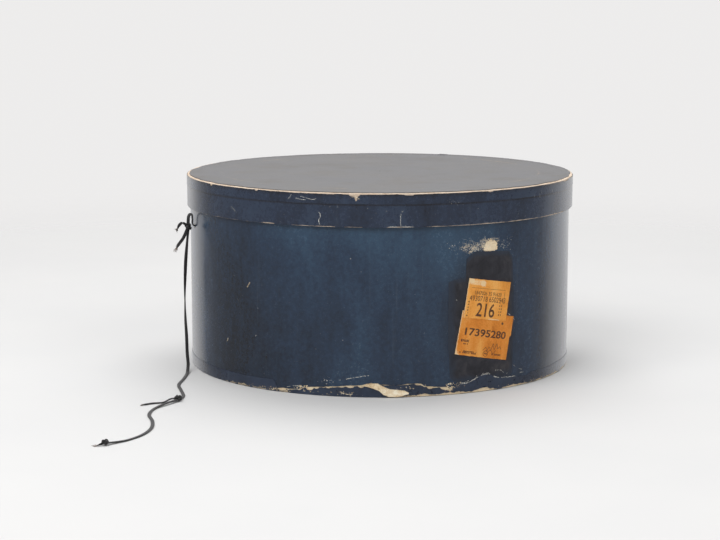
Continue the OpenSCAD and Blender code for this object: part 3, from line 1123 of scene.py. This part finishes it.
def build_label(name, node, label, material, worn, step=None):
    """A label with slightly ragged edges; worn are pale patches, (u, v, half sizes, depth)."""
    width, height = (k * MM for k in label["size"])
    seed = label["seed"]
    u = np.linspace(-0.5, 0.5, 120)[:, None]
    v = np.linspace(-0.5, 0.5, 90)[None, :]
    x = u * width + np.abs(2 * u) ** 8 * np.sign(u) * 0.3 * MM * ragged(v * 40 + u, 1 * MM, seed)
    y = v * height + np.abs(2 * v) ** 8 * np.sign(v) * 0.3 * MM * ragged(u * 40 + v, 1 * MM, seed + 5)
    if step:
        below, depth = step
        x = x - depth * MM * clamp((below - v) / 0.03) * clamp((u - 0.35) / 0.15)
    piece = sheet_piece(name, [label_place(label, x, y, 0.0)], 0.14 * MM, material)
    edge = np.maximum(np.abs(u), np.abs(v)) * 2
    shade = clamp((edge - 0.93) / 0.07) * 0.45 + clamp((-u - 0.465) / 0.035) * 0.35
    for pu, pv, du, dv, depth in worn:
        across = clamp((du - np.abs(u - pu)) / 0.05)
        shade = shade + depth * across * clamp((dv - np.abs(v - pv)) / 0.04)
    paint_attribute(piece, "edge", shade)
    settle(piece, "box", node)


def ink_block(label, x0, x1, y0, y1, slant=0.0):
    """A small printed block; sizes in millimetres from the label's centre."""
    count = max(2, int(abs(x1 - x0) / 2.5) + 1)
    xs = np.linspace(x0, x1, count)[:, None] * MM
    ys = np.array([y0, y1])[None, :] * MM
    grid = label_place(label, xs + ys * slant, ys + 0 * xs, 0.05 * MM)
    return sheet_points(grid, 0.04 * MM, False), sheet_faces(count, 2, False)


def ink_stroke(label, points, width):
    """A pen line through points in millimetres."""
    line = smooth_line(points, 8) * MM
    side = beside(line) * width * MM / 2
    both = np.stack([line - side, line + side], axis=1)
    grid = label_place(label, both[..., 0], both[..., 1], 0.05 * MM)
    return sheet_points(grid, 0.04 * MM, False), sheet_faces(len(line), 2, False)


def ink_number(label, digits, x, y, size, narrow=0.62, bold=0.02):
    """Printed digits, as solid shapes laid on the label."""
    data = bpy.data.curves.new("digits", "FONT")
    data.body = digits
    data.size = size
    data.offset = bold * size
    data.extrude = 0.5
    data.align_x = "CENTER"
    data.align_y = "CENTER"
    data.resolution_u = 6
    holder = bpy.data.objects.new("digits", data)
    bpy.context.scene.collection.objects.link(holder)
    bpy.context.view_layer.update()
    mesh = bpy.data.meshes.new_from_object(holder.evaluated_get(bpy.context.evaluated_depsgraph_get()))
    flat = np.array([v.co for v in mesh.vertices])
    faces = [tuple(p.vertices) for p in mesh.polygons]
    bpy.data.objects.remove(holder)
    bpy.data.meshes.remove(mesh)
    px = (flat[:, 0] * narrow + x) * MM
    py = (flat[:, 1] + y) * MM
    return label_place(label, px, py, 0.03 * MM + flat[:, 2] * 0.05 * MM), faces


def ink_words(label, x0, x1, y, tall, seed):
    """A line of print too small to read: upright strokes of uneven width."""
    rng = np.random.default_rng(seed)
    parts = []
    x = x0
    while x < x1:
        if rng.uniform() < 0.16:
            x += tall * 0.55
            continue
        wide = tall * rng.uniform(0.18, 0.5)
        low = y - tall / 2 * rng.uniform(0.7, 1.0)
        high = y + tall / 2 * rng.uniform(0.75, 1.0)
        parts.append(ink_block(label, x, min(x + wide, x1), low, high))
        x += wide + tall * rng.uniform(0.12, 0.24)
    return parts


def print_upper():
    parts = [
        ink_number(UPPER, "216", -1.6, -11.0, 18.4, 0.80, 0.012),
        ink_number(UPPER, "1847026 35 91620", -1.0, 5.7, 5.0, 0.86, 0.0),
        ink_number(UPPER, "4930718 6502943", 0.0, 0.2, 7.2, 0.82, 0.0),
        ink_block(UPPER, -20.6, 19.4, 10.4, 10.65),
        ink_block(UPPER, 18.9, 19.2, -3, 8.6),
    ]
    for k in range(6):
        low = -3.4 - 2.7 * k
        parts += ink_words(UPPER, -22.3, -20.9, low, 1.7, 180 + k)
    for k in range(5):
        low = -2.2 - 2.9 * k
        parts += ink_words(UPPER, 14.4, 15.3, low, 2.0, 190 + k)
        parts += ink_words(UPPER, 16.8, 17.8, low, 2.0, 195 + k)
    return parts


def print_lower():
    parts = [ink_number(LOWER, "17395280", -1.2, 1.6, 9.8, 1.30, 0.022)]
    for y in (-18.8, -17.4):
        parts += ink_words(LOWER, -27 + (y + 18.8) * 3, -8, y, 1.5, 186 + int(y))
    parts += ink_words(LOWER, -27, -18, -7.2, 2.8, 84)
    parts += ink_words(LOWER, -24, -19, -10.2, 1.6, 87)
    parts += ink_words(LOWER, 10, 22, -17.6, 1.9, 86)
    pen = [(-1, -14.6), (2, -11.4), (3.4, -14.8), (6, -10.6), (8.2, -13.8), (10.4, -7.2), (12.2, -12.6)]
    pen += [(14.8, -6.8), (16.4, -11.4), (19, -9.4), (20.6, -12.2)]
    parts.append(ink_stroke(LOWER, pen, 0.45))
    parts.append(ink_stroke(LOWER, [(4.5, -16.4), (8, -13.6), (11, -16.6), (14.4, -13.4)], 0.4))
    parts.append(ink_stroke(LOWER, oval(2.6, -17.4, 2.7, 2.6, 16), 0.45))
    parts += ink_words(LOWER, 1.2, 4.2, -17.4, 1.8, 89)
    parts.append(ink_stroke(LOWER, oval(17.6, 13.2, 0.65, 0.65, 12), 1.3))
    return parts


def build_labels():
    lower_worn = [(-0.46, -0.45, 0.06, 0.07, 0.5), (0.47, 0.25, 0.03, 0.2, 0.2)]
    build_label("label_lower_paper", "label_lower", LOWER, orange_lower, lower_worn, (0.06, 1.6))
    upper_worn = [
        (-0.30, 0.41, 0.20, 0.09, 0.62), (-0.14, 0.38, 0.09, 0.10, 0.42), (-0.44, 0.45, 0.07, 0.07, 0.50),
        (0.2, -0.485, 0.16, 0.03, 0.7), (0.45, 0.28, 0.04, 0.10, 0.4),
    ]
    build_label("label_upper_paper", "label_upper", UPPER, orange_upper, upper_worn)
    for name, parts in (("label_upper_print", print_upper()), ("label_lower_print", print_lower())):
        piece = make_piece(name, *joined(parts), ink, smooth=False)
        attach(piece, "box")


build_labels()

# ---- the lid ----------------------------------------------------------------


# Chips in the lid's top edge: place and width in degrees, depth in mm
LID_CHIPS = [
    (-24.4, 1.5, 2.0), (-23.9, 0.45, 4.2), (-73.6, 0.7, 1.6), (14.5, 0.9, 0.9), (-53.9, 0.6, 1.2),
    (-9.5, 1.4, 0.8), (52, 3.0, 1.0), (118, 2.0, 3.0), (-150, 1.5, 2.2),
]

# Worn stretches of the rim's lower edge, and one that is broken: amount, from, to, ramp
RIM_WORN = [
    (0.75, -2, 47, 4), (0.6, -15.2, -8.4, 0.6), (0.35, -80, -50, 3), (0.3, 47, 80, 3),
    (0.5, 90, 170, 8), (0.4, -170, -100, 8),
]
RIM_WORN_IN_SPOTS = [(0.55, -52, -14, 2)]


def lid_side_wear(angle):
    """How far the paper is worn away below the lid's top edge."""
    slow = patchy(angle, lid_r, 60 * MM, 103)
    wear = 0.95 + 1.4 * grain(angle, lid_r, 101) * (0.3 + 0.9 * slow)
    return wear * MM + chips(angle, LID_CHIPS)


def lid_top_wear(angle):
    slow = patchy(angle, lid_r, 80 * MM, 109)
    return (1.6 + 3.4 * grain(angle, lid_r, 107) * (0.35 + slow)) * MM


def rim_low_wear(angle):
    """Wear along the rim's lower edge: strong at the right, broken at the left."""
    spots = jag(angle, lid_r, 9 * MM, 115) > 0.1
    place = stretches(angle, RIM_WORN) + stretches(angle, RIM_WORN_IN_SPOTS) * spots
    return (0.15 + 0.35 * place + 1.3 * place * grain(angle, lid_r, 113)) * MM


def build_lid_board():
    """The lid's board: its arris is rounded and fuzzy where the paper has gone."""
    angle = turn(1600)[:-1]
    fuzz = 0.10 * MM * jag(angle, lid_r, 1.0 * MM, 121) + 0.10 * MM * jag(angle, lid_r, 4 * MM, 122)
    r, z = rim_board_r, lid_board_top
    profile = [(0, z - lid_board_z, 0.3), (0, 1.1 * MM, 1), (0.25 * MM, 0.45 * MM, 1)]
    profile += [(0.9 * MM, 0.08 * MM, 1), (2 * MM, 0, 0.6), (9 * MM, 0, 0)]
    rows = [around(r - inwards + fuzz * k, angle, z - down + 0.4 * fuzz * k) for inwards, down, k in profile]
    ring = sheet_piece("lid_board_edge", [np.stack(rows, axis=1)], 0.8 * MM, worn_arris, closed=True)
    settle(ring, "lid", "lid_board")


def build_lid_strip():
    angle, lift = wrapped(2400, 140.0, 2.2)
    low = lid_strip_z + 0.45 * MM * waves(angle, 0, 125, 6, 3, 34)
    low = low + 0.15 * MM * ragged(angle, lid_r, 126)
    rows = rows_between(low, lid_top - lid_side_wear(angle), 7)
    uneven = patchy(angle, lid_r, 5 * MM, 128)[:, None]
    flick = 0.15 * MM * np.linspace(0, 1, 7)[None, :] ** 4 * uneven
    side = on_rim(angle[:, None], rows, paper + lift - flick)
    outer = lid_r - lid_top_wear(angle)
    inner = lid_r - strip_w + 0.4 * MM * waves(angle, 0, 130, 6, 3, 34)
    reach = rows_between(outer, inner, 6)
    flat = around(reach, angle[:, None], lid_top - 0.02 * MM)
    flat[..., 2] += top_bulge(flat[..., 0], flat[..., 1]) + lift
    strip = sheet_piece("lid_edge_strip_paper", [side], paper * 0.9, lid_edge_paper)
    settle(strip, "lid", "lid_edge_strip")
    settle(sheet_piece("lid_edge_strip_top", [flat], paper * 0.9, lid_top_paper), "lid")


def build_rim_cover():
    angle, lift = wrapped(2200, 165.0, 2.6)
    low = rim_z + rim_low_wear(angle)
    high = lid_top - lid_side_wear(angle) - 0.9 * MM
    rows = rows_between(low, high, 12)
    side = on_rim(angle[:, None], rows, lift)
    reach = rows_between(rim_inner_r, rim_r - 0.6 * rim_low_wear(angle), 3)
    under = around(reach, angle[:, None], rim_z + 0.02 * MM)
    cover = sheet_piece("lid_rim_cover_paper", [side, under], paper * 0.95, lid_paper)
    settle(cover, "lid", "lid_rim_cover")


def build_top_cover():
    """The lid's top paper, as rings out to the worn edge."""
    angle = turn(1081)[:-1]
    edge = lid_r - lid_top_wear(angle) - 1.2 * MM
    share = np.concatenate([[0.004], np.linspace(0.04, 1, 40)])
    reach = edge[:, None] * share[None, ::-1]
    grid = around(reach, angle[:, None], lid_top - 0.08 * MM)
    grid[..., 2] += top_bulge(grid[..., 0], grid[..., 1])
    cover = sheet_piece("lid_top_cover_paper", [grid], paper * 0.9, lid_top_paper, closed=True)
    settle(cover, "lid", "lid_top_cover")


build_lid_board()
build_lid_strip()
build_rim_cover()
build_top_cover()

# ---- scratches and specks ---------------------------------------------------


def scratch(place, stops, width, seed, lift=0.06 * MM, whole=0.72):
    """A thin broken mark through (degrees, millimetres) stops; whole is its unbroken share."""
    line = smooth_line(stops, 16)
    rng = np.random.default_rng(seed)
    metres = np.stack([np.radians(line[:, 0]) * wall_r, line[:, 1] * MM], axis=1)
    side = beside(metres)
    half = width * MM / 2 * rng.uniform(0.15, 1.0, (len(line), 1)) ** 1.3
    wander = side * rng.normal(0, 0.16 * MM, (len(line), 1))
    parts = []
    start = 0
    while start < len(line) - 2:
        stop = min(len(line), start + int(rng.integers(3, 9)))
        if rng.uniform() < whole:
            run = slice(start, stop)
            middle = metres[run] + wander[run]
            across = side[run] * half[run]
            both = np.stack([middle - across, middle + across], axis=1)
            grid = place(both[..., 0] / wall_r, both[..., 1], lift)
            parts.append((sheet_points(grid, 0.05 * MM, False), sheet_faces(stop - start, 2, False)))
        start = stop - 1
    return parts


def specks(place, angle, height, spread, count, size, seed, lift=0.05 * MM):
    """Small angular flakes scattered about a point."""
    rng = np.random.default_rng(seed)
    parts = []
    for _ in range(count):
        a = math.radians(angle) + rng.normal(0, spread[0]) * MM / wall_r
        h = (height + spread[1] * float(np.clip(rng.normal(0, 1), -1.6, 1.6))) * MM
        reach = size * MM * rng.uniform(0.3, 1.0)
        corners = rng.integers(4, 7)
        turns = np.sort(rng.uniform(0, TAU, corners))
        away = reach * rng.uniform(0.4, 1.0, corners)
        outline = a + away * np.cos(turns) / wall_r, h + away * np.sin(turns)
        points = np.concatenate([place(*outline, lift), place(*outline, lift - 0.05 * MM)])
        parts.append((points, prism_faces(corners)))
    return parts


# A row that starts with a list is a scratch: stops, width, seed, lift, whole share.
# The others are specks: angle, height, spread each way, count, size, seed, lift.
ON_STRIP = 0.36 * MM
ON_TEAR = 0.45 * MM
ARC = [(5.8, 10.4), (8, 10.6), (10.8, 14.4), (12.8, 16.7), (15.5, 16.8), (17.3, 13.2)]
ARC += [(20.3, 11.4), (25, 10.4)]
WALL_SCUFFS = [
    (10.2, 141, (3.2, 2.6), 46, 0.9, 201), (12.6, 145, (4.5, 2.6), 46, 0.7, 202),
    (6.5, 143, (9, 5), 40, 0.55, 203), (20.5, 143, (6, 4), 30, 0.6, 204),
    (19.8, 140.5, (2, 1.2), 12, 0.9, 205), (3.2, 144.5, (1.2, 1.2), 6, 1.0, 206),
    ([(5.4, 141), (7.4, 140.2), (9.6, 139.6)], 0.9, 207),
    ([(-20.5, 21.5), (-24, 19.5), (-28.6, 16.3)], 0.6, 208),
    (ARC, 0.9, 209, 0.5 * MM),
    ([(a - 0.5, h + 1.1) for a, h in ARC[:5]], 0.6, 219, 0.5 * MM, 0.6),
    ([(a + 3.5, h + 2.4) for a, h in ARC[3:]], 0.5, 220, 0.3 * MM, 0.5),
    ([(24, 22), (26.5, 17.5), (28, 15.5)], 0.5, 210),
    ([(22, 74), (23.5, 70), (24.6, 66.5)], 0.8, 211, 0.3 * MM),
    (4.4, 92.6, (0.2, 0.2), 3, 1.0, 212, 0.22 * MM), (-55.4, 52.3, (0.3, 0.3), 3, 0.9, 213),
    (-22.7, 121.4, (0.2, 0.2), 2, 0.9, 214), (-25.6, 134, (0.3, 0.3), 3, 0.7, 215),
    (-32, 15, (5, 2), 18, 0.8, 216), (-10, 60, (150, 30), 70, 0.38, 217),
    (170, 80, (190, 40), 90, 0.4, 218),
    ([(-44.6, 5.6), (-42.6, 7.4), (-40.2, 7.6), (-38.6, 6.4), (-38.2, 4.6)], 0.7, 237, ON_TEAR, 0.85),
    ([(-44.2, 3.2), (-42.4, 4.6), (-40.4, 4.2), (-39, 3.0)], 0.6, 238, ON_TEAR, 0.8),
]
WALL_TEARS = [
    ([(-57.4, 104), (-58, 101), (-58.7, 98)], 1.1, 221), ([(-67, 44.5), (-67.6, 41)], 0.8, 222),
    ([(13.3, 137.6), (15, 137.2), (17.4, 137.8)], 0.9, 223),
    (15.0, 148.4, (4, 0.9), 26, 0.8, 224), (12.3, 142.6, (0.9, 2.4), 16, 0.8, 225),
    (-39.4, 6.0, (4.2, 1.6), 34, 1.5, 226, ON_TEAR), (-46.4, 2.4, (5.4, 0.8), 30, 1.4, 227, ON_TEAR),
    (-61, 1.8, (8, 0.6), 34, 1.2, 228, ON_TEAR), (-53, 2.4, (7, 0.8), 24, 1.0, 231, ON_TEAR),
    (-8, 9.6, (9, 1.2), 24, 1.0, 229, ON_TEAR), (2.4, 7.4, (2.2, 2.4), 26, 1.3, 230, ON_TEAR),
    (4.6, 9.6, (4.2, 1.6), 22, 0.9, 232, ON_TEAR), (30, 2.4, (40, 0.9), 60, 1.0, 233, ON_TEAR),
    (-30, 3.2, (16, 1.2), 26, 0.8, 234, ON_TEAR),
    ([(-28.5, 5.2), (-27.8, 3.6), (-26.6, 2.8), (-25, 3.0)], 0.8, 235, ON_TEAR, 1.0),
    ([(-9.2, 12.4), (-6, 12.6), (-5, 10.2), (-1.5, 8.6), (1.7, 8)], 1.2, 236, ON_TEAR, 0.9),
]
LID_SCUFFS = [
    ([(-63.8, 176.6), (-62.6, 174), (-61.6, 171.6)], 0.5, 241),
    ([(-43.4, 188.8), (-42.6, 192), (-42.1, 194.8)], 0.5, 242, ON_STRIP),
    ([(-34.2, 178), (-33.8, 174), (-34.3, 170), (-33.9, 164.8)], 0.9, 243),
    ([(-11.8, 177.5), (-11.9, 171), (-11.8, 164.7)], 0.7, 244),
    (-11.3, 179.6, (0.5, 0.6), 4, 0.8, 245),
    ([(-15, 164.9), (-12, 165.1), (-8.6, 164.8)], 0.9, 246),
    ([(-41, 190.2), (-38, 189), (-35, 190.4)], 0.6, 247, ON_STRIP),
    ([(-39.6, 192.3), (-37, 190.2), (-35.4, 189.6)], 0.5, 248, ON_STRIP),
]
for k, a in enumerate((31, 33.6, 34.4, 38.5, 41, 43.2, 44.5)):
    LID_SCUFFS.append(([(a, 189 + k % 3), (a + 0.4, 184 - k % 2)], 0.35, 250 + k, ON_STRIP))
LID_SCUFFS += [
    (-20, 176, (110, 7), 46, 0.42, 261), (160, 176, (200, 7), 60, 0.42, 262),
    (3.2, 187, (3.6, 2), 16, 0.5, 263, ON_STRIP),
]
LID_TEARS = [(-24, 193, (2.2, 1.4), 18, 0.9, 264, ON_STRIP), (-73.6, 195, (0.8, 0.7), 6, 0.8, 265, ON_STRIP)]


def build_marks(name, body, place, rows, material):
    """One piece of all the marks in a list of rows."""
    parts = []
    for row in rows:
        draw = scratch if isinstance(row[0], list) else specks
        parts += draw(place, *row)
    settle(make_piece(name, *joined(parts), material, smooth=False), body)


build_marks("wall_scuffs", "box", on_wall, WALL_SCUFFS, scuff)
build_marks("wall_tears", "box", on_wall, WALL_TEARS, torn)
build_marks("lid_scuffs", "lid", on_rim, LID_SCUFFS, scuff)
build_marks("lid_tears", "lid", on_rim, LID_TEARS, torn)

# ---- CAD nodes that stay, with their materials --------------------------------


def finish_nodes():
    finishes = {
        worn_board: ("wall_board", "base_board"),
        worn_arris: ("lid_rim_board",),
        inside_paper: ("wall_lining", "base_lining", "inner_corner_strip", "lid_lining", "lid_rim_lining"),
        edge_paper: ("rim_binding",),
        base_paper: ("base_cover",),
    }
    for material, nodes in finishes.items():
        for name in nodes:
            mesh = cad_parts[name].data
            mesh.materials.clear()
            mesh.materials.append(material)


finish_nodes()

# ---- floor, light -----------------------------------------------------------


def build_floor():
    """A pale floor that fades into the background away from the box."""
    size = 6.0
    points = [(-size, -size, 0), (size, -size, 0), (size, size, 0), (-size, size, 0)]
    n = Nodes("floor")
    span = {"Value": n.from_axis(), "From Min": 0.45, "From Max": 1.6, "To Min": 1.0, "To Max": 0.0}
    fade = n.add("MapRange", span, interpolation_type="SMOOTHSTEP")
    tint = n.ramp(n.noise(6, 3, 0.5), [(0.3, (0.645, 0.645, 0.645)), (0.7, (0.66, 0.658, 0.655))])
    material = n.finish(tint, 1.0, Specular_IOR_Level=0.0)
    n.put(n.shader.inputs["Alpha"], fade.outputs[0])
    floor = make_piece("floor", points, [(0, 1, 2, 3)], material, smooth=False)
    floor.visible_glossy = False


# Brightness of the backdrop to the eye, of the screen behind the box and of the room,
# and the bearings in degrees over which the screen comes up on the left and the right
BACKDROP = 0.85
SCREEN = 1.15
ROOM = 0.3
SCREEN_LEFT = (-58.0, -34.0)
SCREEN_RIGHT = (70.0, 50.0)


def build_world():
    """A pale backdrop to the eye; to the box, a bright back and a dimmer room."""
    world = bpy.data.worlds.new("world")
    bpy.context.scene.world = world
    n = Nodes("world", world)
    place = n.coordinates.outputs["Generated"]

    def along(x, y):
        return n.add("VectorMath", {0: place, 1: (x, y, 0)}, operation="DOT_PRODUCT").outputs["Value"]

    def edge(value, start, stop):
        span = {"Value": value, "From Min": math.radians(start), "From Max": math.radians(stop)}
        return n.add("MapRange", span, interpolation_type="SMOOTHSTEP").outputs["Result"]

    c, s = math.cos(view_azimuth), math.sin(view_azimuth)
    bearing = n.math("ARCTAN2", along(c, s), along(-s, c))
    lit = n.times(edge(bearing, *SCREEN_LEFT), edge(bearing, *SCREEN_RIGHT))
    strength = n.madd(lit, SCREEN - ROOM, ROOM)
    to_eye = n.add("LightPath").outputs["Is Camera Ray"]
    background = n.tree.nodes["Background"]
    n.put(background.inputs["Color"], (1.0, 0.99, 0.985, 1))
    n.put(background.inputs["Strength"], n.add("Mix", {0: to_eye, 2: strength, 3: BACKDROP}).outputs[0])


def area_light(name, azimuth, elevation, distance, size, power):
    """A soft box at an angle round the box, aimed at its middle."""
    data = bpy.data.lights.new(name, "AREA")
    data.shape = "SQUARE"
    data.size = size
    data.energy = power
    lamp = bpy.data.objects.new(name, data)
    bpy.context.scene.collection.objects.link(lamp)
    a = view_azimuth + math.radians(azimuth)
    e = math.radians(elevation)
    middle = Vector((0, 0, 0.1))
    away = Vector((math.sin(a) * math.cos(e), -math.cos(a) * math.cos(e), math.sin(e)))
    lamp.location = middle + away * distance
    lamp.rotation_euler = away.to_track_quat("Z", "Y").to_euler()


build_floor()
build_world()
area_light("key", -38, 48, 2.6, 1.6, 36)
area_light("fill", 48, 38, 2.8, 1.6, 16)
area_light("top", 180, 70, 2.4, 1.8, 30)

bpy.context.scene.view_settings.view_transform = "Standard"
